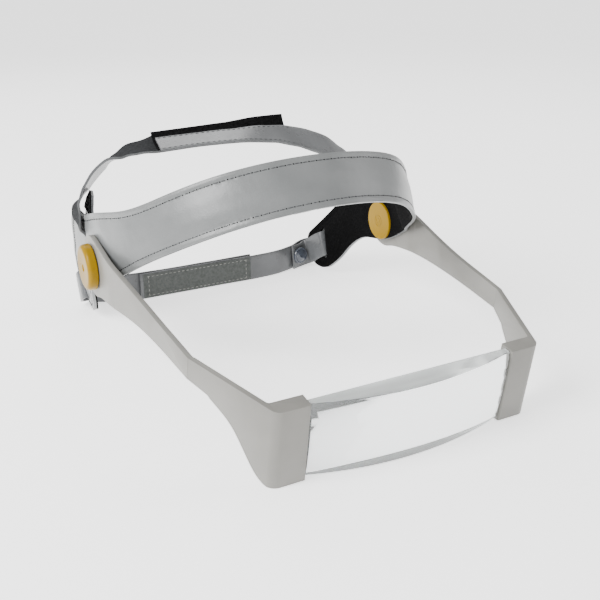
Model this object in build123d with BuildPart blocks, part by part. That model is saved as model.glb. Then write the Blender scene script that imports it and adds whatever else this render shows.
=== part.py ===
"""Head visor magnifier: a padded headband with two friction pivots that carry a flip-up lens plate.

Millimetres, +Z up. The wearer looks along -Y. Right and left name the sides as seen from the front,
so right is at +X.
The origin is on the surface that the magnifier stands on, under the middle of its box.
"""
from build123d import *
from math import cos, radians, sin
import os

os.makedirs("parts", exist_ok=True)

# --- driving dimensions -------------------------------------------------------------------------
PIVOT_Y = 38.1          # pivot axis behind the origin
PIVOT_Z = 45.6          # pivot axis above the surface
BAND_TILT = 32.0        # the headband's plane rises to the front by this angle

# headband shell, measured out from the middle plane
BAND_HALF = 79.7        # outer half width at the pivots
BAND_HEIGHT = 24.0      # height of the forehead strip
SKIN_T = 0.9
STIFFENER_T = 0.5
LINING_T = 0.9

# pivot stack, radii and lengths along the pivot axis
BUSH_R = 4.0
BOLT_R = 2.0
BOLT_HEAD_R = 3.4
BOLT_HEAD_T = 1.2
BOLT_CHAMFER = 0.4
DISC_R = 10.4
DISC_T = 1.3
DISC_EDGE = 0.6         # rounding of the disc's rim
RING_RADII = (1.3, 2.9)     # two fine rings in the disc's face
RING_W = 0.25
RING_DEPTH = 0.2
BOSS_R = 5.4
HUB_R = 14.6
HUB_X = 80.3            # inner face of the arm's hub
ARM_T = 2.2
KNOB_R = 11.0
KNOB_X = HUB_X + ARM_T + 0.35
KNOB_T = 4.6
INSERT_R = 3.2
INSERT_L = KNOB_T - 1.5
KNOB_EDGE = 0.4         # chamfer on the side of the hub
KNOB_DRAFT = 0.15
KNOB_ROUND = 2.2        # rounding of the outer rim
KNOB_DISH = 0.25        # the end face sinks this far towards its middle
DIMPLE_R = 1.2
DIMPLE_LIP = 2.0
DIMPLE_T = 0.75
CLEAR = 0.3             # gap between parts that pass each other
FIT = 0.05              # radial play of a running fit
FIBRE_R = 9.6           # friction washer between band and hub
FIBRE_T = 0.5
SPRING_R = 8.0          # spring washer between hub and knob
SPRING_T = 0.25

# lens plate and its holders
HOLDER_TILT = 7.6       # the lens plate leans back by this angle
HOLDER_IN = 45.6        # inner edge of each holder
HOLDER_H = 33.9
HOLDER_D = 6.8
HOLDER_WALL = 2.2
LENS_H = 32.4
LENS_RISE = 0.35        # the lens sits this far above the middle of its holders
LENS_EDGE = 3.8         # thickness where the lens meets the holder
LENS_BOW = 6.6          # how far the middle stands in front of the ends
TONGUE_T = 1.9
TONGUE_X = 53.4
TONGUE_SHORT = 1.8      # the tongues stop this far below the plate's top

STRAP_W = 15.0
STRAP_T = 1.2
TAPE_W = 13.0
TAPE_T = 0.7

# --- working planes -----------------------------------------------------------------------------
TILT = radians(BAND_TILT)
LEAN = radians(HOLDER_TILT)
PIVOT = Vector(0, PIVOT_Y, PIVOT_Z)
AXIS_PLANE = Plane(origin=PIVOT, x_dir=(0, 1, 0), z_dir=(1, 0, 0))
BAND_PLANE = Plane(origin=PIVOT, x_dir=(1, 0, 0), z_dir=(0, sin(TILT), cos(TILT)))
BAND_SIDE = Plane(origin=PIVOT, x_dir=(0, cos(TILT), -sin(TILT)), z_dir=(1, 0, 0))
HOLDER_PLANE = Plane(
    origin=PIVOT + Vector(0, -143.0, -28.75), x_dir=(1, 0, 0), z_dir=(0, -cos(LEAN), -sin(LEAN))
)
FAR = 120.0


def finish(builder, name):
    """Label a finished piece and write it."""
    builder.part.label = name
    export_step(builder.part, f"parts/{name}.step")
    print(f"{name:24s} {builder.part.volume:10.1f} mm3, solids {len(builder.part.solids())}")


def both_sides(right, name):
    """Write a right-hand piece and its mirror image as two nodes."""
    finish(right, f"right_{name}")
    with BuildPart() as left:
        mirror(right.part, about=Plane.YZ)
    finish(left, f"left_{name}")
    return left


# --- headband: three layers between nested shells -------------------------------------------------
PIVOT_FLAT = 10.0       # the side panels are flat this far in front of and behind the pivots


def band_half_outline(low):
    """Half of the shell's plan at its lower or upper level: (front points, rear points)."""
    if low:
        front = [(0, -95.6), (23, -90.6), (43, -77.0), (61, -56.0), (71.3, -39.0), (76.9, -23.5)]
        rear = [(77.2, 34.0), (73.6, 55.0), (69.8, 80.0)]
    else:
        front = [(0, -85.8), (24, -84.0), (46, -75.5), (66, -54.5), (74.8, -38.5), (78.0, -23.5)]
        rear = [(81.4, 38.0), (79.6, 58.0), (75.4, 80.0)]
    return front, rear


def moved_in(points, depth):
    """Move each point of an outline inwards by depth, square to the outline."""
    result = []
    for i, (x, y) in enumerate(points):
        x0, y0 = points[max(i - 1, 0)]
        x1, y1 = points[min(i + 1, len(points) - 1)]
        along = Vector(x1 - x0, y1 - y0).normalized()
        inward = Vector(-along.Y, along.X)
        result.append((x + inward.X * depth, y + inward.Y * depth))
    return result


def band_face(low, depth):
    """Closed plan of the space inside the shell, `depth` in from its outer face."""
    front, rear = band_half_outline(low)
    flat_front, flat_rear = (BAND_HALF, -PIVOT_FLAT), (BAND_HALF, PIVOT_FLAT)
    chain = moved_in([(-front[1][0], front[1][1])] + front + [flat_front, flat_rear] + rear, depth)
    front_pts, rear_pts = chain[1:len(front) + 1], chain[len(front) + 3:]
    front_pts[0] = (0, front[0][1] + depth)
    side_pts = [(BAND_HALF - depth, -PIVOT_FLAT), (BAND_HALF - depth, PIVOT_FLAT)]

    def flip(points):
        return [(-x, y) for x, y in reversed(points)]

    with BuildSketch() as sketch:
        with BuildLine():
            Spline(
                *flip(front_pts + side_pts[:1])[:-1],
                *(front_pts + side_pts[:1]),
                tangents=[(0, -1), (0, 1)],
            )
            Line(side_pts[0], side_pts[1])
            Spline(side_pts[1], *rear_pts, tangents=[(0, 1), (rear_pts[-1][0] - rear_pts[-2][0], 22.0)])
            Line(rear_pts[-1], (-rear_pts[-1][0], rear_pts[-1][1]))
            Spline(
                *flip([side_pts[1]] + rear_pts),
                tangents=[(rear_pts[-1][0] - rear_pts[-2][0], -22.0), (0, -1)],
            )
            Line((-side_pts[1][0], side_pts[1][1]), (-side_pts[0][0], side_pts[0][1]))
        make_face()
    return sketch.sketch


LEVELS = (-15.0, 37.0)  # the shell is ruled between these two levels of the band's plane


def band_outline(inset):
    """Side view of the headband: forehead strip, rear tail and crown lug, in the band's plane."""
    half = BAND_HEIGHT / 2
    edge = moved_in(
        [
            (-FAR, -half), (-16, -half),                                        # forehead strip
            (2.5, -10.4), (12.5, -6.8), (24, -3.4), (40, -5.4), (56, -9.9),     # waist behind the pivot
            (64.0, -9.9), (72.0, -5.6), (77.0, 5.0), (77.4, 12.0), (72.5, 16.9),   # end of the tail
            (44, 22.9), (36.5, 27.0), (28.0, 34.2), (19.5, 33.6), (13.0, 29.4),     # crown lug
            (-8, 23.2), (-30, 16.2), (-54, half), (-FAR, half),
        ],
        inset,
    )
    with BuildSketch() as sketch:
        with BuildLine():
            Line(edge[0], edge[1])
            Spline(*edge[1:7], tangents=[(1, 0), (1, -0.15)])
            Spline(*edge[6:10], tangents=[(1, -0.15), (0.25, 1)])
            Spline(*edge[9:12], tangents=[(0.25, 1), (-1, 0.22)])
            Line(edge[11], edge[12])
            Spline(*edge[12:17], tangents=[(-1, 0.22), (-1, -0.45)])
            Spline(*edge[16:20], tangents=[(-1, -0.45), (-1, 0)])
            Line(edge[19], edge[20])
            Line(edge[20], edge[0])
        make_face()
    return sketch.sketch


CROWN_SLOT = (16.3, 24.1, 17.0, 3.4, 44.5)    # centre along and up, length, width, angle
REAR_SLOT = (60.5, 4.8, 17.5, 3.8, 96.0)
PIVOT_HOLE_R = 5.6


def band_layer(outer, inner, inset, name):
    """One layer of the headband, between two depths in from its outer face."""
    with BuildPart() as layer:
        for depth, how in ((outer, Mode.ADD), (inner, Mode.SUBTRACT)):
            with BuildPart(mode=Mode.PRIVATE) as body:
                for level, low in zip(LEVELS, (True, False)):
                    with BuildSketch(BAND_PLANE.offset(level)):
                        add(band_face(low, depth))
                loft(ruled=True)
            add(body.part, mode=how)
        with BuildSketch(BAND_SIDE.offset(-FAR)):
            add(band_outline(inset))
        extrude(amount=2 * FAR, mode=Mode.INTERSECT)
        for s, v, length, width, angle in (CROWN_SLOT, REAR_SLOT):
            with BuildSketch(BAND_SIDE.offset(-FAR)):
                with Locations((s, v)):
                    SlotOverall(length + 2 * inset, width + 2 * inset, rotation=angle)
            extrude(amount=2 * FAR, mode=Mode.SUBTRACT)
        with BuildSketch(BAND_SIDE.offset(-FAR)):
            Circle(PIVOT_HOLE_R)
        extrude(amount=2 * FAR, mode=Mode.SUBTRACT)
    finish(layer, name)
    return layer


SKIN = (0.0, SKIN_T)
STIFFENER = (SKIN_T, SKIN_T + STIFFENER_T)
LINING = (SKIN_T + STIFFENER_T, SKIN_T + STIFFENER_T + LINING_T)
band_skin = band_layer(*SKIN, 0.0, "band_skin")
band_stiffener = band_layer(*STIFFENER, 1.2, "band_stiffener")
band_lining = band_layer(*LINING, 0.4, "band_lining")

# --- pivots: a bolt from the inner disc through the band and the arm's hub to the outer knob ------
DISC_X = BAND_HALF - SKIN_T - STIFFENER_T - LINING_T - DISC_T     # visible face of the inner disc
BOSS_X = BAND_HALF + 0.35                                         # end of the disc's boss
HEAD_X = DISC_X + DISC_T - 0.2                                    # bolt head, moulded into the disc
INSERT_X = KNOB_X + 0.1
BOLT_X = KNOB_X + KNOB_T - 1.6

with BuildPart() as inner_disc:
    with BuildSketch(AXIS_PLANE.offset(DISC_X)):
        Circle(DISC_R)
    extrude(amount=DISC_T)
    rim = inner_disc.faces().sort_by(Axis.X)[0].edges()
    fillet(rim, DISC_EDGE)
    with BuildSketch(AXIS_PLANE.offset(DISC_X + DISC_T)):
        Circle(BOSS_R)
    extrude(amount=BOSS_X - DISC_X - DISC_T)
    for radius in RING_RADII:
        with BuildSketch(AXIS_PLANE.offset(DISC_X)):
            Circle(radius + RING_W)
            Circle(radius, mode=Mode.SUBTRACT)
        extrude(amount=RING_DEPTH, mode=Mode.SUBTRACT)
    with BuildSketch(AXIS_PLANE.offset(HEAD_X)):
        Circle(BOLT_HEAD_R)
    extrude(amount=BOLT_HEAD_T, mode=Mode.SUBTRACT)
    with BuildSketch(AXIS_PLANE.offset(HEAD_X)):
        Circle(BOLT_R)
    extrude(amount=BOLT_X - HEAD_X, mode=Mode.SUBTRACT)
both_sides(inner_disc, "inner_disc")

with BuildPart() as pivot_bolt:
    with BuildSketch(AXIS_PLANE.offset(HEAD_X)):
        Circle(BOLT_HEAD_R)
    extrude(amount=BOLT_HEAD_T)
    with BuildSketch(AXIS_PLANE.offset(HEAD_X)):
        Circle(BOLT_R)
    extrude(amount=BOLT_X - HEAD_X)
    chamfer(pivot_bolt.faces().sort_by(Axis.X)[-1].edges(), BOLT_CHAMFER)
both_sides(pivot_bolt, "pivot_bolt")

with BuildPart() as pivot_bush:
    with BuildSketch(AXIS_PLANE.offset(BOSS_X)):
        Circle(BUSH_R)
        Circle(BOLT_R, mode=Mode.SUBTRACT)
    extrude(amount=HUB_X + ARM_T - BOSS_X + FIT)
both_sides(pivot_bush, "pivot_bush")

with BuildPart() as fibre_washer:
    with BuildSketch(AXIS_PLANE.offset(BAND_HALF)):
        Circle(FIBRE_R)
        Circle(BOSS_R + CLEAR, mode=Mode.SUBTRACT)
    extrude(amount=FIBRE_T)
both_sides(fibre_washer, "fibre_washer")

with BuildPart() as spring_washer:
    with BuildSketch(AXIS_PLANE.offset(HUB_X + ARM_T)):
        Circle(SPRING_R)
        Circle(BUSH_R + CLEAR, mode=Mode.SUBTRACT)
    extrude(amount=SPRING_T)
both_sides(spring_washer, "spring_washer")

with BuildPart() as pivot_knob:
    knob_end = KNOB_X + KNOB_T
    with BuildSketch(Plane(origin=PIVOT, x_dir=(1, 0, 0), z_dir=(0, 0, 1))):
        with BuildLine():
            Line((KNOB_X, 0), (KNOB_X, KNOB_R - KNOB_EDGE))
            Line((KNOB_X, KNOB_R - KNOB_EDGE), (KNOB_X + KNOB_EDGE, KNOB_R))
            Line((KNOB_X + KNOB_EDGE, KNOB_R), (knob_end - 2.0, KNOB_R - KNOB_DRAFT))
            ThreePointArc(
                (knob_end - 2.0, KNOB_R - KNOB_DRAFT),
                (knob_end - 0.55, KNOB_R - 0.8),
                (knob_end, KNOB_R - KNOB_ROUND),
            )
            Line((knob_end, KNOB_R - KNOB_ROUND), (knob_end - KNOB_DISH, DIMPLE_LIP))
            Line((knob_end - KNOB_DISH, DIMPLE_LIP), (knob_end - DIMPLE_T, DIMPLE_R))
            Line((knob_end - DIMPLE_T, DIMPLE_R), (knob_end - DIMPLE_T, 0))
            Line((knob_end - DIMPLE_T, 0), (KNOB_X, 0))
        make_face()
    revolve(axis=Axis(PIVOT, (1, 0, 0)))
    with BuildSketch(AXIS_PLANE.offset(KNOB_X - 0.1)):
        Circle(INSERT_R)
    extrude(amount=INSERT_L + 0.2, mode=Mode.SUBTRACT)
both_sides(pivot_knob, "pivot_knob")

with BuildPart() as knob_insert:
    with BuildSketch(AXIS_PLANE.offset(INSERT_X)):
        Circle(INSERT_R)
        Circle(BOLT_R + FIT, mode=Mode.SUBTRACT)
    extrude(amount=INSERT_L)
both_sides(knob_insert, "knob_insert")

# --- visor arms, each one moulding from hub to lens holder ----------------------------------------
FOLD_X, FOLD_Y = 75.2, -103.4               # where the arm's top edge folds inwards, from the pivot
CORNER_X = 59.2                             # outer front corner of the holder before it is rounded
FACE_Y = -145.6                             # the holder's front face, square to its lean
CORNER_R = 4.6
HOLDER_PLAN = Plane(origin=PIVOT, x_dir=(1, 0, 0), z_dir=(0, -sin(LEAN), cos(LEAN)))
FOLD_CUT = Plane(origin=PIVOT + Vector(0, FOLD_Y, -5.0), x_dir=(1, 0, 0), z_dir=(0, 0.98, 0.188))

with BuildPart() as arm_wall:               # rear stretch, hub to fold, an upright wall
    outer_x = HUB_X + ARM_T
    outer = [(outer_x, -21.0), (81.2, -37), (79.0, -56), (77.3, -76), (75.6, -100), (74.2, -118)]
    inner = moved_in(outer, -ARM_T)
    inner[0] = (HUB_X, outer[0][1])
    with BuildSketch(Plane(origin=PIVOT - Vector(0, 0, 60))):
        with BuildLine():
            Line((HUB_X, 20), (outer_x, 20))
            Line((outer_x, 20), outer[0])
            Spline(*outer, tangents=[(0, -1), (-1.4, -18)])
            Line(outer[-1], inner[-1])
            Spline(*reversed(inner), tangents=[(1.4, 18), (0, 1)])
            Line(inner[0], (HUB_X, 20))
        make_face()
    extrude(amount=90)
    split(bisect_by=FOLD_CUT, keep=Keep.TOP)

slab_dir = Vector(FOLD_X - CORNER_X, FOLD_Y + 0.25 - FACE_Y).normalized()
slab_in = Vector(-slab_dir.Y, slab_dir.X) * ARM_T
with BuildPart() as arm_front:              # front stretch: flat wall and the holder round its corner
    corner = Vector(CORNER_X, FACE_Y)
    back_out = corner + slab_dir * 60
    back_in = back_out + slab_in
    holder_back = FACE_Y + HOLDER_D
    meet = back_in - slab_dir * ((back_in.Y - holder_back) / slab_dir.Y)
    with BuildSketch(HOLDER_PLAN) as front_profile:
        Polygon(
            (corner.X, corner.Y),
            (back_out.X, back_out.Y),
            (back_in.X, back_in.Y),
            (meet.X, meet.Y),
            (HOLDER_IN, holder_back),
            (HOLDER_IN, FACE_Y),
            align=None,
        )
        for point, radius in ((corner, CORNER_R), (Vector(HOLDER_IN, FACE_Y), 0.7), (meet, 1.5)):
            fillet(front_profile.vertices().sort_by_distance(point)[0], radius)
    extrude(amount=70, both=True)
    split(bisect_by=FOLD_CUT, keep=Keep.BOTTOM)

with BuildPart() as right_arm:
    add(arm_wall.part)
    add(arm_front.part)
    top_start, low_end = (-2.8, 14.33), (-5.0, -13.72)
    with BuildSketch(AXIS_PLANE.offset(20)):
        with BuildLine():
            Spline(
                top_start, (-46, 5.1), (-75, -0.6), (-103.4, -5.0),
                tangents=[(-0.98, -0.19), (-1, -0.17)],
            )
            Line((-103.4, -5.0), (-148.0, -12.4))
            Line((-148.0, -12.4), (-148.0, -PIVOT_Z))
            Line((-148.0, -PIVOT_Z), (-137.6, -PIVOT_Z))
            Spline(
                (-137.6, -PIVOT_Z), (-133.0, -42.8), (-129.3, -37.4), (-125.4, -30.4), (-120.3, -24.0),
                (-112.5, -18.4), (-101.5, -14.4),
                tangents=[(1, 0.25), (1, 0.3)],
            )
            Spline(
                (-101.5, -14.4), (-77.6, -11.7), (-52.3, -10.2), (-34, -10.5), (-20, -11.4), low_end,
                tangents=[(1, 0.12), (0.94, -0.34)],
            )
            ThreePointArc(low_end, (HUB_R, 0), top_start)
        make_face()
    extrude(amount=100, mode=Mode.INTERSECT)
    with BuildSketch(HOLDER_PLANE.offset(-HOLDER_WALL)):
        with Locations(((HOLDER_IN - 2 + TONGUE_X + 0.5) / 2, -5)):
            Rectangle(TONGUE_X + 0.5 - HOLDER_IN + 2, HOLDER_H + 6)
    extrude(amount=-(TONGUE_T + CLEAR), mode=Mode.SUBTRACT)
    with BuildSketch(AXIS_PLANE):
        Circle(BUSH_R + FIT)
    extrude(amount=100, mode=Mode.SUBTRACT)
both_sides(right_arm, "arm")

# --- lens plate: flat back, one shallow dome in front, a tongue at each end ------------------------
LENS_HALF = HOLDER_IN - CLEAR
BACK_DEPTH = HOLDER_WALL + CLEAR / 2 + TONGUE_T      # the plate's flat back, behind the holder's face
DOME_R = (LENS_HALF**2 + LENS_BOW**2) / (2 * LENS_BOW)
with BuildPart() as lens_plate:
    with BuildSketch(HOLDER_PLANE.offset(-BACK_DEPTH)):
        with Locations((0, LENS_RISE)):
            Rectangle(2 * LENS_HALF, LENS_H)
    extrude(amount=LENS_EDGE + LENS_BOW + 1)
    dome_centre = LENS_EDGE + LENS_BOW - BACK_DEPTH - DOME_R
    with Locations(HOLDER_PLANE.from_local_coords(Vector(0, 0, dome_centre))):
        Sphere(DOME_R, mode=Mode.INTERSECT)
    with BuildSketch(HOLDER_PLANE.offset(-BACK_DEPTH)):
        with Locations((0, LENS_RISE - TONGUE_SHORT / 2)):
            Rectangle(2 * TONGUE_X, LENS_H - TONGUE_SHORT)
    extrude(amount=TONGUE_T)
finish(lens_plate, "lens_plate")

# --- straps: flat ribbons, each route a list of (x, y, z, lean, turn) from the pivot ---------------
# lean tips the strap's width up towards the rear, turn swings it outwards, both in degrees
GLUE = 0.03             # gap between a strap and the tape bonded to it
PILE = 0.25             # the hooks and loops hold their two tapes this far apart
LAYERS = STRAP_T + 2 * TAPE_T + 2 * GLUE + PILE     # one fastened strap half to the other


def width_direction(lean, turn):
    lean, turn = radians(lean), radians(turn)
    return Vector(sin(turn) * cos(lean), cos(turn) * cos(lean), sin(lean))


def stations(route):
    """The (centre, width direction, face direction, travel direction) at each point of a route."""
    spots = [Vector(*point[:3]) for point in route]
    found = []
    for i, (_, _, _, lean, turn) in enumerate(route):
        across = width_direction(lean, turn)
        run_in = spots[i] - spots[i - 1] if i else spots[1] - spots[0]
        run_out = spots[i + 1] - spots[i] if i < len(spots) - 1 else run_in
        along = run_in.normalized() + run_out.normalized()
        along = (along - across * along.dot(across)).normalized()
        found.append((spots[i], across, across.cross(along), along))
    return found


def ribbon(route, width, thickness, lift=0.0, first=0, last=None):
    """Closed solid of a flat strap between two stations, moved by lift off its face."""
    sections = []
    for spot, across, face, along in stations(route)[first:last]:
        centre = PIVOT + spot + face * lift
        with BuildSketch(Plane(origin=centre, x_dir=across, z_dir=along)) as section:
            Rectangle(width, thickness)
        sections.append(section.sketch)
    loft(sections, ruled=True)


def beside(route, lift, shifts):
    """Route of a second strap that lies on another one's face, moved across it by its shifts."""
    moved = []
    for (spot, across, face, _), shift, (_, _, _, lean, turn) in zip(stations(route), shifts, route):
        spot = spot + face * lift + across * shift
        moved.append((spot.X, spot.Y, spot.Z, lean, turn))
    return moved


def mirrored(route):
    return [(-x, y, z, lean, -turn) for x, y, z, lean, turn in route]


# rear strap: each half runs outside its tail, in through the slot and back to a snap on itself
STRAP_Y, STRAP_Z = 60.5, -38.1
rear_loop = [
    (56.2, 63.8, -37.9, 87, 0),             # loose end of the flap
    (67.4, 66.8, -36.9, 87, 0),
    (68.9, 63.4, -34.4, 75, 0),
    (70.6, 57.4, -30.2, 66, 0),
    (72.2, 54.0, -28.2, 64, 0),             # through the rear slot
    (76.0, 54.0, -28.2, 64, 0),
    (77.0, 57.8, -30.6, 66, 0),
    (75.8, 64.6, -34.2, 68, 0),
    (73.6, 70.9, -36.8, 70, 0),             # round the end of the tail
    (69.2, 72.0, -37.5, 78, 0),
    (56.4, 66.3, STRAP_Z, 90, 0),
    (44.6, 62.0, STRAP_Z, 90, 0),
    (30.0, STRAP_Y, STRAP_Z, 90, 0),
]
right_rear = rear_loop + [(-42.7, STRAP_Y, STRAP_Z, 90, 0)]
left_rear = mirrored(rear_loop[:-2]) + [
    (-48.5, STRAP_Y + LAYERS + 1.0, STRAP_Z, 90, 0),
    (-40.0, STRAP_Y + LAYERS, STRAP_Z, 90, 0),
    (27.0, STRAP_Y + LAYERS, STRAP_Z, 90, 0),
]
with BuildPart() as rear_strap_right:
    ribbon(right_rear, STRAP_W, STRAP_T)
finish(rear_strap_right, "rear_strap_right")
with BuildPart() as rear_strap_left:
    ribbon(left_rear, STRAP_W, STRAP_T)
finish(rear_strap_left, "rear_strap_left")

REAR_TAPE = (-39.0, 25.0)                   # the fastened stretch, in x
for name, below in (("rear_loop_tape", 0.0), ("rear_hook_tape", TAPE_T + PILE)):
    with BuildPart() as rear_tape:
        tape_y = STRAP_Y + STRAP_T / 2 + GLUE + below + TAPE_T / 2
        with Locations(PIVOT + Vector(sum(REAR_TAPE) / 2, tape_y, STRAP_Z)):
            Box(REAR_TAPE[1] - REAR_TAPE[0], TAPE_T, TAPE_W)
    finish(rear_tape, name)

PATCH = (-41.0, 25.5, 0.35, 14.0)           # x from and to, thickness, height
with BuildPart() as rear_patch:
    with Locations(PIVOT + Vector(sum(PATCH[:2]) / 2, STRAP_Y - STRAP_T / 2 - GLUE - PATCH[2] / 2, STRAP_Z)):
        Box(PATCH[1] - PATCH[0], PATCH[2], PATCH[3])
finish(rear_patch, "rear_strap_patch")

# snaps: a domed cap on the flap, a stud between flap and strap
CAP_R, CAP_T, CAP_ROUND = 5.2, 2.0, 1.5
STUD_R, STUD_T = 3.2, 1.3
SNAP_INSET = 6.0        # snap centre from the flap's loose end
flap_end, flap_across, flap_face, flap_along = stations(rear_loop)[0]
SNAP_AT = PIVOT + flap_end + flap_along * SNAP_INSET
CAP_PLANE = Plane(origin=SNAP_AT - flap_face * (STRAP_T / 2 + GLUE), x_dir=flap_across, z_dir=-flap_face)
STUD_PLANE = Plane(origin=SNAP_AT + flap_face * (STRAP_T / 2 + GLUE), x_dir=flap_across, z_dir=flap_face)
with BuildPart() as snap_caps:
    with BuildSketch(CAP_PLANE):
        Circle(CAP_R)
    extrude(amount=CAP_T)
    fillet(snap_caps.faces().sort_by(Axis(SNAP_AT, -flap_face))[-1].edges(), CAP_ROUND)
    mirror(about=Plane.YZ)
finish(snap_caps, "rear_snap_caps")
with BuildPart() as snap_studs:
    with BuildSketch(STUD_PLANE):
        Circle(STUD_R)
    extrude(amount=STUD_T)
    mirror(about=Plane.YZ)
finish(snap_studs, "rear_snap_studs")

# crown strap: the right half lies over the left one, joined by hook and loop tape
right_crown = [
    (-39.0, 24.3, 48.6, 12, 0),
    (-20.0, 21.5, 49.9, 11, 0),
    (0.0, 19.6, 50.4, 13, 0),
    (20.0, 19.3, 49.5, 23, 0),
    (33.0, 19.8, 47.2, 33, 0),
    (45.0, 21.0, 43.4, 41, 0),
    (57.0, 22.6, 38.4, 44, 0),
    (68.0, 24.4, 31.5, 38, 0),
    (77.6, 26.4, 26.4, 22, 0),
    (81.3, 27.2, 20.8, 13, 0),
    (81.4, 27.0, 13.2, 12.5, 0),
    (79.9, 26.7, 11.9, 12.5, 0),            # through the crown slot
    (77.4, 26.7, 11.9, 12.5, 0),
    (75.9, 26.4, 13.4, 12.5, 0),
    (75.4, 26.0, 19.5, 13, 0),
    (73.2, 25.6, 24.6, 20, 0),              # loose end, inside the lug
]
FASTENED = 5            # stations of the crown strap that are fastened together
KEEPER = -3             # stations of each loose end that carry a keeper tape
HOOK_W = STRAP_W - 0.6
OVERLAP = beside(right_crown[:FASTENED], LAYERS, (5.5, 6.2, 7.0, 7.8, 8.4))
left_crown = list(reversed(OVERLAP)) + [
    (-50.0, 29.4, 46.6, 8, 0),
    (-58.0, 28.6, 44.0, -4, 4),
    (-65.5, 27.6, 40.8, -22, 20),           # the strap twists until it stands on edge
    (-70.8, 27.3, 36.6, -24, 20),
    (-75.4, 27.2, 31.0, -20, 20),
    (-79.2, 27.3, 25.2, -10, 16),
    (-81.5, 27.4, 19.4, 6, 2),
    (-81.4, 27.0, 13.6, 12.5, 0),
    (-79.9, 26.7, 11.9, 12.5, 0),
    (-77.4, 26.7, 11.9, 12.5, 0),
    (-75.9, 26.0, 13.4, 12.5, 0),
    (-75.6, 25.0, 19.0, 10, 4),
    (-75.0, 24.6, 23.6, 2, 8),
    (-73.6, 24.6, 28.4, -8, 12),
]
with BuildPart() as crown_strap_right:
    ribbon(right_crown, STRAP_W, STRAP_T)
finish(crown_strap_right, "crown_strap_right")
with BuildPart() as crown_strap_left:
    ribbon(left_crown, STRAP_W, STRAP_T)
finish(crown_strap_left, "crown_strap_left")

face_gap = STRAP_T / 2 + GLUE + TAPE_T / 2
with BuildPart() as crown_loop_tape:
    ribbon(right_crown, TAPE_W, TAPE_T, lift=face_gap, last=FASTENED)
finish(crown_loop_tape, "crown_loop_tape")
with BuildPart() as crown_hook_tape:
    ribbon(left_crown, HOOK_W, TAPE_T, lift=face_gap, last=FASTENED)
finish(crown_hook_tape, "crown_hook_tape")
with BuildPart() as crown_keeper_tapes:
    ribbon(left_crown, TAPE_W, TAPE_T, lift=-face_gap, first=KEEPER)
    ribbon(right_crown, TAPE_W, TAPE_T, lift=face_gap, first=KEEPER)
finish(crown_keeper_tapes, "crown_keeper_tapes")
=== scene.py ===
"""Head visor magnifier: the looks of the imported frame, in metres."""

from math import cos, pi, radians, sin

import bmesh
import bpy
from mathutils import Matrix, Vector, kdtree, noise
from mathutils.geometry import interpolate_bezier


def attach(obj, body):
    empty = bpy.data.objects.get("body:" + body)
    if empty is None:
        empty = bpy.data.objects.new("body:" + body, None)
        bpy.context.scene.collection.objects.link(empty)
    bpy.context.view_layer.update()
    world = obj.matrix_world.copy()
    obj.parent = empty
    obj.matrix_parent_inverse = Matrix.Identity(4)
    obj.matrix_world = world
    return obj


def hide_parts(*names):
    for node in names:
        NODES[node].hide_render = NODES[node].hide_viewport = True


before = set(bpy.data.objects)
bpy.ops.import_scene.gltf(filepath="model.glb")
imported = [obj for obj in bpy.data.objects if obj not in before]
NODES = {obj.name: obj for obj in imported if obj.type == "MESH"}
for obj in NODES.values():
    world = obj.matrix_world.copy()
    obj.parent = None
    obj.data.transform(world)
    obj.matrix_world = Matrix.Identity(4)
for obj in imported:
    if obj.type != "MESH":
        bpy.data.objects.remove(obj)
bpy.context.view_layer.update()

MM = 0.001
PIVOT = Vector((0, 38.1, 45.6)) * MM
BAND_TILT = radians(32)
REARWARD = Vector((0, cos(BAND_TILT), -sin(BAND_TILT)))     # along the headband's plane
UPWARD = Vector((0, sin(BAND_TILT), cos(BAND_TILT)))        # square to the headband's plane


# --- finishes -------------------------------------------------------------------------------------
def new_finish(name, roughness, **sockets):
    """A material with its plain numbers set on the shader, and a place to read its pattern from."""
    material = bpy.data.materials.new(name)
    material.use_nodes = True
    tree = material.node_tree
    shader = tree.nodes["Principled BSDF"]
    shader.inputs["Roughness"].default_value = roughness
    for socket, value in sockets.items():
        shader.inputs[socket.replace("_", " ")].default_value = value
    place = tree.nodes.new("ShaderNodeTexCoord")
    return material, tree, shader, place.outputs["Object"]


def speckle(tree, place, scale, detail=3.0, kind="noise", stretch=None):
    """A grey pattern on the piece: noise or cells."""
    if stretch:
        mapping = tree.nodes.new("ShaderNodeMapping")
        mapping.inputs["Scale"].default_value = stretch
        tree.links.new(place, mapping.inputs["Vector"])
        place = mapping.outputs["Vector"]
    if kind == "cells":
        pattern = tree.nodes.new("ShaderNodeTexVoronoi")
        out = pattern.outputs["Distance"]
    else:
        pattern = tree.nodes.new("ShaderNodeTexNoise")
        pattern.inputs["Detail"].default_value = detail
        out = pattern.outputs["Fac"]
    pattern.inputs["Scale"].default_value = scale
    tree.links.new(place, pattern.inputs["Vector"])
    return out


def two_tone(tree, shader, pattern, dark, light, low=0.35, high=0.65):
    """Colour between two tones along a pattern."""
    ramp = tree.nodes.new("ShaderNodeValToRGB")
    ramp.color_ramp.elements[0].position = low
    ramp.color_ramp.elements[0].color = (*dark, 1)
    ramp.color_ramp.elements[1].position = high
    ramp.color_ramp.elements[1].color = (*light, 1)
    tree.links.new(pattern, ramp.inputs["Fac"])
    tree.links.new(ramp.outputs["Color"], shader.inputs["Base Color"])


def relief(tree, shader, patterns, strength, depth):
    """Bump from one or more patterns, one over the other."""
    last = None
    for pattern, share in patterns:
        bump = tree.nodes.new("ShaderNodeBump")
        bump.inputs["Strength"].default_value = strength * share
        bump.inputs["Distance"].default_value = depth
        tree.links.new(pattern, bump.inputs["Height"])
        if last:
            tree.links.new(last, bump.inputs["Normal"])
        last = bump.outputs["Normal"]
    tree.links.new(last, shader.inputs["Normal"])


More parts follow.
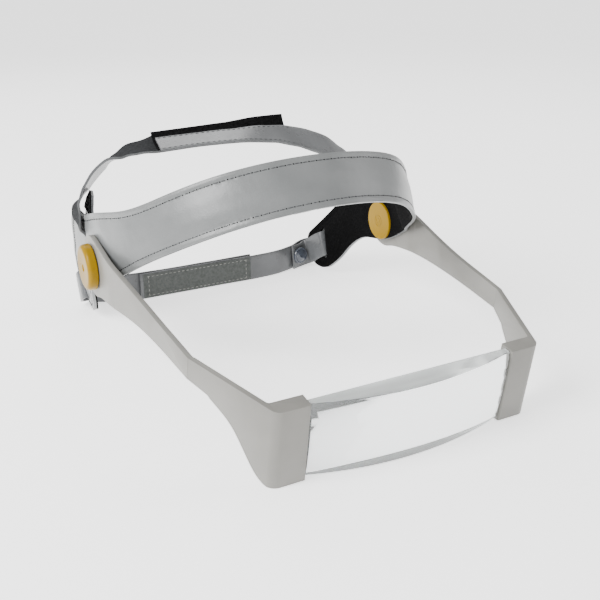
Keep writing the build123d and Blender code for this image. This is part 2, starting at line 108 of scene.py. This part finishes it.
def worn_gloss(tree, shader, pattern, low, high):
    """Roughness that wanders between two values."""
    spread = tree.nodes.new("ShaderNodeMapRange")
    spread.inputs["To Min"].default_value = low
    spread.inputs["To Max"].default_value = high
    tree.links.new(pattern, spread.inputs["Value"])
    tree.links.new(spread.outputs["Result"], shader.inputs["Roughness"])


def leatherette(name, dark, light, low, high, depth=0.00010):
    material, tree, shader, place = new_finish(name, 0.42, Sheen_Weight=0.10, Specular_IOR_Level=0.45)
    two_tone(tree, shader, speckle(tree, place, 60, 4), dark, light)
    pores = speckle(tree, place, 1500, kind="cells")
    relief(tree, shader, [(pores, 0.6), (speckle(tree, place, 420, 4), 0.5)], 0.35, depth)
    worn_gloss(tree, shader, speckle(tree, place, 140, 3), low, high)
    return material


def moulded_plastic(name, dark, light, low, high, coat=0.0, grain=900, bump=0.10, shine=0.5):
    material, tree, shader, place = new_finish(
        name, 0.4, Coat_Weight=coat, Coat_Roughness=0.12, Specular_IOR_Level=shine
    )
    two_tone(tree, shader, speckle(tree, place, 45, 3), dark, light)
    relief(tree, shader, [(speckle(tree, place, grain, 3), 1.0)], bump, 0.00008)
    worn_gloss(tree, shader, speckle(tree, place, 90, 4), low, high)
    return material


def black_cloth(name, dark, light, pitch, bump):
    material, tree, shader, place = new_finish(name, 0.95, Specular_IOR_Level=0.08)
    two_tone(tree, shader, speckle(tree, place, 700, 5), dark, light, 0.3, 0.7)
    tufts = speckle(tree, place, pitch, kind="cells")
    relief(tree, shader, [(tufts, 1.0), (speckle(tree, place, 1800, 4), 0.8)], bump, 0.0004)
    return material


def machined_metal(name, dark, light, low, high):
    material, tree, shader, place = new_finish(name, 0.3, Metallic=1.0)
    two_tone(tree, shader, speckle(tree, place, 300, 3), dark, light)
    relief(tree, shader, [(speckle(tree, place, 2500, 2, stretch=(0.08, 1, 1)), 1.0)], 0.08, 0.00005)
    worn_gloss(tree, shader, speckle(tree, place, 400, 3), low, high)
    return material


def clear_acrylic(name):
    material, tree, shader, place = new_finish(
        name, 0.02, Transmission_Weight=1.0, IOR=1.49, Base_Color=(0.955, 0.975, 0.98, 1)
    )
    relief(tree, shader, [(speckle(tree, place, 18, 1), 1.0)], 0.02, 0.0003)
    return material


def glow_painted_acrylic(name):
    """The sawn and polished long edges of the lens: cloudy, their pale streaked colour a painted glow
    standing in for the light carried through the clear plate, so they glow instead of mirroring.
    """
    material, tree, shader, place = new_finish(name, 0.25, Transmission_Weight=0.45, IOR=1.49)
    streaks = speckle(tree, place, 90, 2, stretch=(0.15, 1, 1))
    # painted glow: the pale tones stand in for the light carried through the lens to its edges
    two_tone(tree, shader, streaks, (0.48, 0.50, 0.49), (0.80, 0.83, 0.82))
    return material


GREY_SKIN = leatherette("grey_leatherette", (0.138, 0.144, 0.144), (0.166, 0.172, 0.172), 0.27, 0.38)
BLACK_LINING = black_cloth("black_lining_cloth", (0.0008, 0.0008, 0.0009), (0.0025, 0.0025, 0.0027), 900, 0.5)
YELLOW = moulded_plastic(
    "yellow_plastic", (0.235, 0.135, 0.0), (0.270, 0.156, 0.0), 0.24, 0.34, grain=700, bump=0.05, shine=0.12
)
ARM_GREY = moulded_plastic("warm_grey_plastic", (0.172, 0.167, 0.151), (0.205, 0.199, 0.181), 0.36, 0.48)
LENS_CLEAR = clear_acrylic("clear_acrylic")
LENS_EDGE_GLOW = glow_painted_acrylic("lens_edge_painted_glow")
GREY_STRAP = leatherette(
    "grey_strap_vinyl", (0.078, 0.081, 0.084), (0.110, 0.114, 0.118), 0.22, 0.36, 0.00014
)
# painted shade: this dark cloth on the back of the left crown strap stands in for the shade on its side
# turned away from the light
STRAP_SHADE_SIDE = black_cloth("strap_painted_shade_cloth", (0.018, 0.019, 0.020), (0.034, 0.035, 0.037), 1300, 0.4)
PATCH_GREY = black_cloth("patch_cloth", (0.072, 0.077, 0.073), (0.104, 0.110, 0.105), 1100, 0.30)
HOOK_TAPE = black_cloth("hook_and_loop_pile", (0.001, 0.001, 0.0012), (0.007, 0.007, 0.0075), 750, 1.0)
DARK_THREAD = black_cloth("dark_thread", (0.045, 0.047, 0.049), (0.075, 0.078, 0.080), 1500, 0.4)
PALE_THREAD = black_cloth("pale_thread", (0.22, 0.22, 0.21), (0.32, 0.32, 0.30), 1500, 0.4)
SNAP_DARK = moulded_plastic(
    "snap_lacquer", (0.035, 0.042, 0.058), (0.062, 0.072, 0.092), 0.15, 0.28, 0.5, 500, 0.04
)
ZINC = machined_metal("zinc_plate", (0.50, 0.50, 0.51), (0.66, 0.66, 0.67), 0.22, 0.36)
BRASS = machined_metal("insert_brass", (0.62, 0.42, 0.16), (0.75, 0.54, 0.24), 0.22, 0.36)
BUSH = moulded_plastic("bush_plastic", (0.62, 0.61, 0.57), (0.74, 0.73, 0.69), 0.35, 0.45)
FIBRE = moulded_plastic("washer_fibre", (0.18, 0.06, 0.035), (0.30, 0.11, 0.06), 0.6, 0.8, 0.0, 1400, 0.4)

for node, finish in (
    ("inner_disc", YELLOW), ("pivot_knob", YELLOW), ("pivot_bolt", ZINC), ("spring_washer", ZINC),
    ("pivot_bush", BUSH), ("fibre_washer", FIBRE), ("knob_insert", BRASS),
):
    for side in ("right", "left"):
        NODES[f"{side}_{node}"].data.materials.clear()
        NODES[f"{side}_{node}"].data.materials.append(finish)


# --- making pieces --------------------------------------------------------------------------------
WELD = 2e-6                 # loose corners nearer than this are one corner
EASED_OVER = radians(25)    # edges sharper than this are rounded off


def piece_from(bm, name, finish, body, stands_for=(), crease=35):
    """A finished piece from a bmesh: shaded, given its finish and put on its body."""
    mesh = bpy.data.meshes.new(name)
    bm.to_mesh(mesh)
    bm.free()
    mesh.materials.append(finish)
    mesh.shade_smooth()
    mesh.set_sharp_from_angle(angle=radians(crease))
    piece = bpy.data.objects.new(name, mesh)
    bpy.context.scene.collection.objects.link(piece)
    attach(piece, body)
    if stands_for:
        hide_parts(*stands_for)
    return piece


def eased_copy(node, name, finish, body, ease):
    """A node's own shape with its sharp edges rounded off."""
    bm = bmesh.new()
    bm.from_mesh(NODES[node].data)
    bmesh.ops.remove_doubles(bm, verts=bm.verts, dist=WELD)
    bmesh.ops.dissolve_limit(bm, angle_limit=radians(0.6), verts=bm.verts, edges=bm.edges)
    sharp = [e for e in bm.edges if e.is_manifold and e.calc_face_angle(0) > EASED_OVER]
    bmesh.ops.bevel(
        bm, geom=sharp, offset=ease, offset_type="OFFSET", affect="EDGES", segments=2, profile=0.5,
        material=-1, clamp_overlap=True,
    )
    return piece_from(bm, name, finish, body, (node,), 30)


def smoothstep(t):
    t = min(max(t, 0.0), 1.0)
    return t * t * (3 - 2 * t)


def laid_dashes(bm, path, pitch, length, radius, start=0.0):
    """Adds a row of thread stitches along a path of (point, normal)."""
    walked, next_at = 0.0, start
    for (a, normal), (b, _) in zip(path, path[1:]):
        step = (b - a).length
        while step > 0 and next_at <= walked + step:
            along = (b - a).normalized()
            up = (normal - along * normal.dot(along)).normalized()
            turn = Matrix((along, up.cross(along), up)).transposed().to_4x4()
            turn.translation = a + along * (next_at - walked) + up * radius * 0.25
            turn = turn @ Matrix.Diagonal((length / 2, radius, radius * 0.8, 1))
            bmesh.ops.create_uvsphere(bm, u_segments=6, v_segments=4, radius=1, matrix=turn)
            next_at += pitch
        walked += step


# --- headband -------------------------------------------------------------------------------------
LONGEST_EDGE = 1.7 * MM     # of the band's triangles
SEAM = 2.9 * MM             # the stitched seam lies this far inside the rim
SEAM_DEPTH = 0.28 * MM      # the thread pulls the skin in by this much
BORDER_SWELL = 0.22 * MM
PUCKER = 0.10 * MM
SOFT_REACH = 7 * MM         # the padding reaches its full swell this far from seam and pivot
STITCH_PITCH = 3.5 * MM


def away_from_head(point):
    """Direction out of the headband at a point, square to its wall."""
    local = point - PIVOT
    ahead = min(local.dot(REARWARD) + 20 * MM, 0.0)
    return (Vector((local.x, 0, 0)) + REARWARD * ahead).normalized()


def band_sheet(node, outward):
    """One side of a band layer as an open sheet of small triangles."""
    bm = bmesh.new()
    bm.from_mesh(NODES[node].data)
    bmesh.ops.remove_doubles(bm, verts=bm.verts, dist=WELD)
    other = [f for f in bm.faces if outward * f.normal.dot(away_from_head(f.calc_center_median())) < 0.6]
    bmesh.ops.delete(bm, geom=other, context="FACES")
    for _ in range(8):
        long_edges = [e for e in bm.edges if e.calc_length() > LONGEST_EDGE]
        if not long_edges:
            break
        bmesh.ops.subdivide_edges(bm, edges=long_edges, cuts=1)
        bmesh.ops.triangulate(bm, faces=[f for f in bm.faces if len(f.verts) > 3], quad_method="SHORT_EDGE")
    return bm


def outer_rim(bm):
    """The points of the sheet's longest open edge."""
    left = {e for e in bm.edges if e.is_boundary}
    longest = []
    while left:
        edge = left.pop()
        loop, tip = [edge], edge.verts[1]
        while True:
            follow = next((e for e in tip.link_edges if e in left), None)
            if follow is None:
                break
            left.discard(follow)
            loop.append(follow)
            tip = follow.other_vert(tip)
        if len(loop) > len(longest):
            longest = loop
    return longest


def rim_distance(bm):
    """How far each vertex lies from the sheet's outer rim."""
    rim = outer_rim(bm)
    tree = kdtree.KDTree(len(rim))
    for i, edge in enumerate(rim):
        tree.insert((edge.verts[0].co + edge.verts[1].co) / 2, i)
    tree.balance()
    far = {}
    for v in bm.verts:
        best = 1.0
        for _, i, _ in tree.find_n(v.co, 4):
            a, b = rim[i].verts[0].co, rim[i].verts[1].co
            along = b - a
            t = min(max((v.co - a).dot(along) / max(along.length_squared, 1e-12), 0), 1)
            best = min(best, (v.co - a - along * t).length)
        far[v.index] = best
    return far




def pad_out(bm, far, swell, clear_radius):
    """Swells the sheet between its seams, and pulls it in along them."""
    bm.normal_update()
    moves = {}
    for v in bm.verts:
        d = far[v.index]
        seam = -SEAM_DEPTH * max(0.0, 1 - abs(d - SEAM) / (1.1 * MM)) ** 1.5
        border = BORDER_SWELL * sin(pi * min(d / SEAM, 1.0))
        middle = swell * smoothstep((d - SEAM) / SOFT_REACH)
        local = v.co - PIVOT
        from_pivot = Vector((0, local.y, local.z)).length
        ease = smoothstep((from_pivot - clear_radius) / SOFT_REACH)
        soft = PUCKER * noise.noise(v.co * 55)
        moves[v] = v.normal * ((seam + border + middle + soft) * ease)
    for v, move in moves.items():
        v.co += move


def seam_paths(bm, far):
    """Lines on the sheet where the distance from the rim is the seam's."""
    bm.normal_update()
    crossing, links = {}, {}
    for e in bm.edges:
        a, b = e.verts
        da, db = far[a.index] - SEAM, far[b.index] - SEAM
        if (da < 0) != (db < 0):
            t = da / (da - db)
            crossing[e.index] = (a.co.lerp(b.co, t), a.normal.lerp(b.normal, t).normalized())
    for f in bm.faces:
        ends = [e.index for e in f.edges if e.index in crossing]
        if len(ends) == 2:
            links.setdefault(ends[0], []).append(ends[1])
            links.setdefault(ends[1], []).append(ends[0])
    paths, seen = [], set()
    for first in links:
        if first in seen:
            continue
        path, here = [], first
        while here is not None:
            seen.add(here)
            path.append(crossing[here])
            here = next((n for n in links[here] if n not in seen), None)
        if len(path) > 30:
            paths.append(path)
    return paths


def band_piece(node, outward, thickness, swell, clear_radius, name, finish, stands_for):
    """One padded layer of the headband, and the lines of its seam."""
    bm = band_sheet(node, outward)
    bm.verts.index_update()
    bm.edges.index_update()
    far = rim_distance(bm)
    pad_out(bm, far, swell, clear_radius)
    paths = seam_paths(bm, far)
    piece = piece_from(bm, name, finish, "headband", stands_for, 60)
    wall = piece.modifiers.new("wall", "SOLIDIFY")
    wall.thickness = thickness
    wall.offset = -1
    wall.use_even_offset = False
    rounding = piece.modifiers.new("rounding", "BEVEL")
    rounding.width = 0.42 * MM
    rounding.segments = 3
    rounding.limit_method = "ANGLE"
    rounding.angle_limit = radians(55)
    rounding.harden_normals = False
    return piece, paths


band_cover, cover_seams = band_piece(
    "band_skin", 1, 1.5 * MM, 0.45 * MM, 15 * MM, "band_cover", GREY_SKIN,
    ("band_skin", "band_stiffener"),
)
band_padding, _ = band_piece(
    "band_lining", -1, 0.95 * MM, 0.55 * MM, 12 * MM, "band_padding", BLACK_LINING,
    ("band_lining",),
)

threads = bmesh.new()
# painted shade: near-black dashes between the stitches stand in for the shade in the needle holes
needle_hole_shade = bmesh.new()
for seam in cover_seams:
    laid_dashes(threads, seam, STITCH_PITCH, 2.5 * MM, 0.21 * MM)
    laid_dashes(needle_hole_shade, seam, STITCH_PITCH, 0.75 * MM, 0.30 * MM, STITCH_PITCH / 2)
piece_from(threads, "band_seam_thread", DARK_THREAD, "headband")
piece_from(needle_hole_shade, "band_needle_hole_shade", HOOK_TAPE, "headband")


# --- straps ---------------------------------------------------------------------------------------
STRAP_WIDTH, STRAP_THICK = 15 * MM, 1.2 * MM
TAPE_WIDTH, TAPE_THICK = 13 * MM, 0.7 * MM
GLUE, PILE = 0.03 * MM, 0.25 * MM
LAYERS = STRAP_THICK + 2 * TAPE_THICK + 2 * GLUE + PILE
FACE_GAP = STRAP_THICK / 2 + GLUE + TAPE_THICK / 2
STRAP_STEP, TAPE_STEP = 1.2 * MM, 0.8 * MM


def width_direction(lean, turn):
    """Across the strap: lean tips it up towards the rear, turn swings it outwards."""
    lean, turn = radians(lean), radians(turn)
    return Vector((sin(turn) * cos(lean), cos(turn) * cos(lean), sin(lean)))


def smooth_route(route, pitch):
    """Even steps of (point, across, face) along a smooth line through a strap's stations."""
    spots = [Vector(p[:3]) * MM for p in route]
    count = len(spots)
    ways = []
    for i in range(count):
        run_in = (spots[i] - spots[i - 1]).normalized() if i else (spots[1] - spots[0]).normalized()
        run_out = (spots[i + 1] - spots[i]).normalized() if i < count - 1 else run_in
        ways.append((run_in + run_out).normalized())
    line = []
    for i in range(count - 1):
        span = (spots[i + 1] - spots[i]).length
        steps = max(3, round(span / pitch))
        bezier = interpolate_bezier(
            spots[i], spots[i] + ways[i] * span / 3, spots[i + 1] - ways[i + 1] * span / 3, spots[i + 1],
            steps + 1,
        )
        for k, point in enumerate(bezier[: None if i == count - 2 else -1]):
            t = smoothstep(k / steps)
            across = width_direction(route[i][3], route[i][4]).lerp(
                width_direction(route[i + 1][3], route[i + 1][4]), t
            )
            line.append((point, across.normalized()))
    steps = []
    for i, (point, across) in enumerate(line):
        along = (line[min(i + 1, len(line) - 1)][0] - line[max(i - 1, 0)][0]).normalized()
        across = (across - along * across.dot(along)).normalized()
        steps.append((PIVOT + point, across, across.cross(along)))
    return steps


def ribbon_sheet(steps, width, lift=0.0, rows=6, waver=0.0, curl=None):
    """A flat sheet along a route, lifted off its line, wavering a little, one edge curled up."""
    bm = bmesh.new()
    bmesh.ops.create_grid(bm, x_segments=len(steps) - 1, y_segments=rows, size=1)
    for v in bm.verts:
        i = round((v.co.x + 1) / 2 * (len(steps) - 1))
        side = v.co.y
        point, across, face = steps[i]
        place = point + across * (side * width / 2) + face * lift
        if curl:
            rise, start, last = curl
            fade = 1 - smoothstep((i - last) / 10)
            place += face * rise * fade * max(0.0, (side - start) / (1 - start)) ** 1.6
        v.co = place + face * waver * noise.noise(place * 90)
    bmesh.ops.recalc_face_normals(bm, faces=bm.faces)
    return bm


def strap_piece(name, steps, width, thick, finish, slot, stands_for, painted_shade_back=False, **shape):
    """A strap, tape or patch along a route: a sheet with a wall and rounded edges."""
    piece = piece_from(ribbon_sheet(steps, width, **shape), name, finish, "headband", stands_for, 60)
    wall = piece.modifiers.new("wall", "SOLIDIFY")
    wall.thickness = thick
    wall.offset = 0
    # painted shade: the far face of the wall takes the dark shade cloth
    if painted_shade_back:
        piece.data.materials.append(STRAP_SHADE_SIDE)
        wall.material_offset = 1
    edge = piece.modifiers.new("edge", "BEVEL")
    edge.width = 0.3 * thick
    edge.segments = 2
    edge.limit_method = "ANGLE"
    edge.angle_limit = radians(50)
    return piece


def mirrored(route):
    """The same route on the other side."""
    return [(-x, y, z, lean, -turn) for x, y, z, lean, turn in route]


STRAP_Y, STRAP_Z = 60.5, -38.1
BEHIND = STRAP_Y + LAYERS / MM
rear_loop = [
    (56.2, 63.8, -37.9, 87, 0), (67.4, 66.8, -36.9, 87, 0), (68.9, 63.4, -34.4, 75, 0),
    (70.6, 57.4, -30.2, 66, 0), (72.2, 54.0, -28.2, 64, 0), (76.0, 54.0, -28.2, 64, 0),
    (77.0, 57.8, -30.6, 66, 0), (75.8, 64.6, -34.2, 68, 0), (73.6, 70.9, -36.8, 70, 0),
    (69.2, 72.0, -37.5, 78, 0), (56.4, 66.3, STRAP_Z, 90, 0), (44.6, 62.0, STRAP_Z, 90, 0),
    (30.0, STRAP_Y, STRAP_Z, 90, 0),
]
right_rear = rear_loop + [(10.0, STRAP_Y, STRAP_Z, 90, 0), (-42.7, STRAP_Y, STRAP_Z, 90, 0)]
left_rear = mirrored(rear_loop[:-2]) + [
    (-48.5, BEHIND + 1.0, STRAP_Z, 90, 0), (-40.0, BEHIND, STRAP_Z, 90, 0), (27.0, BEHIND, STRAP_Z, 90, 0),
]
for side, route in (("right", right_rear), ("left", left_rear)):
    strap_piece(
        f"rear_strap_{side}_vinyl", smooth_route(route, STRAP_STEP), STRAP_WIDTH, STRAP_THICK, GREY_STRAP,
        "strap_vinyl", (f"rear_strap_{side}",), waver=0.25 * MM,
    )

FASTENED = 5                # stations of the crown strap's halves that are fastened together
KEEPER = -3                 # stations of each loose end that carry a keeper tape
right_crown_route = [
    (-39.0, 24.3, 48.6, 12, 0), (-20.0, 21.5, 49.9, 11, 0), (0.0, 19.6, 50.4, 13, 0),
    (20.0, 19.3, 49.5, 23, 0), (33.0, 19.8, 47.2, 33, 0), (45.0, 21.0, 43.4, 41, 0),
    (57.0, 22.6, 38.4, 44, 0), (68.0, 24.4, 31.5, 38, 0), (77.6, 26.4, 26.4, 22, 0),
    (81.3, 27.2, 20.8, 13, 0), (81.4, 27.0, 13.2, 12.5, 0), (79.9, 26.7, 11.9, 12.5, 0),
    (77.4, 26.7, 11.9, 12.5, 0), (75.9, 26.4, 13.4, 12.5, 0), (75.4, 26.0, 19.5, 13, 0),
    (73.2, 25.6, 24.6, 20, 0),
]
left_crown_descent = [
    (-50.0, 29.4, 46.6, 8, 0),
    (-58.0, 28.6, 44.0, -4, 4),
    (-65.5, 27.6, 40.8, -22, 20),
    (-70.8, 27.3, 36.6, -24, 20),
    (-75.4, 27.2, 31.0, -20, 20),
    (-79.2, 27.3, 25.2, -10, 16),
    (-81.5, 27.4, 19.4, 6, 2),
    (-81.4, 27.0, 13.6, 12.5, 0),
    (-79.9, 26.7, 11.9, 12.5, 0),
    (-77.4, 26.7, 11.9, 12.5, 0),
    (-75.9, 26.0, 13.4, 12.5, 0),
    (-75.6, 25.0, 19.0, 10, 4),
    (-75.0, 24.6, 23.6, 2, 8),
    (-73.6, 24.6, 28.4, -8, 12),
]
under = []
for (x, y, z, lean, turn), shift in zip(right_crown_route[:FASTENED], (5.5, 6.2, 7.0, 7.8, 8.4)):
    across = width_direction(lean, turn)
    down = across.cross(Vector((1, 0, 0))).normalized()
    spot = Vector((x, y, z)) + down * LAYERS / MM + across * shift
    under.append((*spot, lean, turn))
left_crown_route = list(reversed(under)) + left_crown_descent
CURL_RISE, CURL_START = 3.4 * MM, -0.05     # the under strap's rear edge curls up past the upper one
strap_piece(
    "crown_strap_right_vinyl", smooth_route(right_crown_route, STRAP_STEP), STRAP_WIDTH, STRAP_THICK,
    GREY_STRAP, "strap_vinyl", ("crown_strap_right",),
)
# the back of this half carries the painted shade of its shaded side
strap_piece(
    "crown_strap_left_vinyl", smooth_route(left_crown_route, STRAP_STEP), STRAP_WIDTH, STRAP_THICK,
    GREY_STRAP, "strap_vinyl", ("crown_strap_left",), painted_shade_back=True, rows=14,
    curl=(CURL_RISE, CURL_START, 56),
)

right_fastened = smooth_route(right_crown_route[:FASTENED], TAPE_STEP)
left_fastened = smooth_route(left_crown_route[:FASTENED], TAPE_STEP)
strap_piece(
    "crown_loop_pile", right_fastened, TAPE_WIDTH, TAPE_THICK, HOOK_TAPE, "hook_loop_tape",
    ("crown_loop_tape",), rows=12, lift=FACE_GAP,
)
strap_piece(
    "crown_hook_pile", left_fastened, STRAP_WIDTH - 0.6 * MM, TAPE_THICK, HOOK_TAPE, "hook_loop_tape",
    ("crown_hook_tape",), rows=14, lift=FACE_GAP, curl=(CURL_RISE, CURL_START, 900),
)
for side, route, lift in (("left", left_crown_route, -FACE_GAP), ("right", right_crown_route, FACE_GAP)):
    strap_piece(
        f"crown_keeper_{side}", smooth_route(route[KEEPER:], TAPE_STEP), STRAP_WIDTH + 0.3 * MM, TAPE_THICK,
        HOOK_TAPE, "hook_loop_tape", ("crown_keeper_tapes",), rows=12, lift=lift,
    )

# rear fastening: two tapes between the halves, and a sewn patch in front
rear_fastened = smooth_route([(-39.0, STRAP_Y, STRAP_Z, 90, 0), (25.0, STRAP_Y, STRAP_Z, 90, 0)], TAPE_STEP)
rear_lift = rear_fastened[0][2].y
for name, gap, node in (
    ("rear_loop_pile", FACE_GAP, "rear_loop_tape"),
    ("rear_hook_pile", FACE_GAP + TAPE_THICK + PILE, "rear_hook_tape"),
):
    strap_piece(
        name, rear_fastened, TAPE_WIDTH, TAPE_THICK, HOOK_TAPE, "hook_loop_tape", (node,), rows=12,
        lift=gap * rear_lift,
    )
PATCH_THICK, PATCH_HEIGHT = 0.4 * MM, 14 * MM
patch_route = smooth_route([(-41.0, STRAP_Y, STRAP_Z, 90, 0), (25.5, STRAP_Y, STRAP_Z, 90, 0)], 1.5 * MM)
strap_piece(
    "rear_patch_cloth", patch_route, PATCH_HEIGHT, PATCH_THICK, PATCH_GREY, "patch_fabric",
    ("rear_strap_patch",), lift=-(STRAP_THICK / 2 + PATCH_THICK / 2) * rear_lift,
)


def strap_rows(bm, steps, lift, rows, pitch, length, radius):
    """Rows of stitches along a strap, each at its own distance from the strap's middle."""
    for row in rows:
        path = [(p + face * lift + across * row, face * (1 if lift > 0 else -1)) for p, across, face in steps]
        laid_dashes(bm, path, pitch, length, radius, pitch * 0.6)


PATCH_STITCH = (2.6 * MM, 1.7 * MM, 0.22 * MM)      # pitch, length, radius of the thread
threads = bmesh.new()
front = -(STRAP_THICK / 2 + PATCH_THICK) * rear_lift
strap_rows(threads, patch_route[1:-1], front, (-5.6 * MM, 5.6 * MM), *PATCH_STITCH)
for end in (2, -3):
    point, across, face = patch_route[end]
    start = point + face * front
    path = [(start + across * (k - 6) * 0.93 * MM, -face * rear_lift) for k in range(13)]
    laid_dashes(threads, path, *PATCH_STITCH, 0.4 * MM)
piece_from(threads, "rear_patch_thread", PALE_THREAD, "headband")

threads = bmesh.new()
strap_rows(
    threads, right_fastened, -STRAP_THICK / 2, (-6.2 * MM, 6.2 * MM), 2.8 * MM, 1.8 * MM, 0.2 * MM
)
piece_from(threads, "crown_strap_thread", DARK_THREAD, "headband")

# snaps: a lacquered cap with a raised ring, on each flap
CAP_PROFILE = [              # radius and height: rim, raised ring, groove and dome
    (5.2, 0.0), (5.2, 0.7), (4.9, 1.15), (4.4, 1.3), (4.0, 1.15), (3.7, 1.25), (2.6, 1.75), (1.3, 1.98),
    (0.0, 2.02),
]
flap, across, face = smooth_route(rear_loop[:2], 1.0 * MM)[6]
for side in ("right", "left"):
    bm = bmesh.new()
    verts = [bm.verts.new((r * MM, 0, h * MM)) for r, h in CAP_PROFILE]
    edges = [bm.edges.new(pair) for pair in zip(verts, verts[1:])]
    bmesh.ops.spin(
        bm, geom=verts + edges, cent=(0, 0, 0), axis=(0, 0, 1), angle=2 * pi, steps=48, use_merge=True
    )
    bmesh.ops.remove_doubles(bm, verts=bm.verts, dist=1e-6)
    bmesh.ops.contextual_create(bm, geom=[e for e in bm.edges if e.is_boundary])
    bmesh.ops.recalc_face_normals(bm, faces=bm.faces)
    turn = Matrix((across, -face.cross(across), -face)).transposed().to_4x4()
    turn.translation = flap - face * (STRAP_THICK / 2 - 0.05 * MM)
    bmesh.ops.transform(bm, matrix=turn, verts=bm.verts)
    if side == "left":
        bmesh.ops.scale(bm, vec=(-1, 1, 1), verts=bm.verts)
        bmesh.ops.recalc_face_normals(bm, faces=bm.faces)
    piece_from(bm, f"snap_cap_{side}", SNAP_DARK, "headband", ("rear_snap_caps",))
NODES["rear_snap_studs"].data.materials.clear()
NODES["rear_snap_studs"].data.materials.append(ZINC)

# --- visor ----------------------------------------------------------------------------------------
for side in ("right", "left"):
    eased_copy(f"{side}_arm", f"{side}_arm_moulding", ARM_GREY, "visor", 0.35 * MM)
plate = eased_copy("lens_plate", "magnifier_lens", LENS_CLEAR, "lens", 0.3 * MM)
# the long edges take the painted glow finish
plate.data.materials.append(LENS_EDGE_GLOW)
for face in plate.data.polygons:
    face.material_index = 1 if abs(face.normal.z) > 0.9 else 0

# --- floor, light and camera ----------------------------------------------------------------------
bm = bmesh.new()
bmesh.ops.create_grid(bm, x_segments=1, y_segments=1, size=6)
floor_mesh = bpy.data.meshes.new("pale_floor")
bm.to_mesh(floor_mesh)
bm.free()
floor = bpy.data.objects.new("pale_floor", floor_mesh)
bpy.context.scene.collection.objects.link(floor)
pale, tree, shader, place = new_finish(
    "pale_floor_paint", 0.9, Specular_IOR_Level=0.1, Emission_Color=(1, 1, 1, 1), Emission_Strength=1.4
)
two_tone(tree, shader, speckle(tree, place, 2, 2), (0.93, 0.93, 0.93), (0.95, 0.95, 0.95))
floor_mesh.materials.append(pale)

world = bpy.data.worlds.new("studio")
bpy.context.scene.world = world
world.use_nodes = True
world.node_tree.nodes["Background"].inputs["Color"].default_value = (1, 1, 1, 1)
world.node_tree.nodes["Background"].inputs["Strength"].default_value = 0.8


def softbox(name, place, target, size, power):
    lamp = bpy.data.lights.new(name, "AREA")
    lamp.shape = "RECTANGLE"
    lamp.size, lamp.size_y = size
    lamp.energy = power
    holder = bpy.data.objects.new(name, lamp)
    bpy.context.scene.collection.objects.link(holder)
    holder.location = place
    holder.rotation_euler = (Vector(target) - Vector(place)).to_track_quat("-Z", "Y").to_euler()


softbox("key_softbox", (-0.85, -0.10, 0.65), (0, 0, 0.05), (0.4, 0.6), 17)
softbox("fill_softbox", (0.9, -0.3, 0.6), (0, 0, 0.05), (0.6, 0.6), 3)
softbox("rear_softbox", (0.1, 0.9, 0.8), (0, 0, 0.05), (0.8, 0.5), 4)

lens = bpy.data.cameras.new("view_camera")
lens.sensor_width = 36
lens.lens = 49.8
lens.clip_start = 0.01
camera = bpy.data.objects.new("view_camera", lens)
bpy.context.scene.collection.objects.link(camera)
right_of_view = Vector((0.882, -0.4712, 0.0))
up_of_view = Vector((0.1765, 0.3304, 0.9272))
back_of_view = Vector((-0.4369, -0.8178, 0.3746))
camera.matrix_world = Matrix.Translation(PIVOT + Vector((-169.6, -368.5, 130.9)) * MM) @ Matrix(
    (right_of_view, up_of_view, back_of_view)
).transposed().to_4x4()
bpy.context.scene.camera = camera
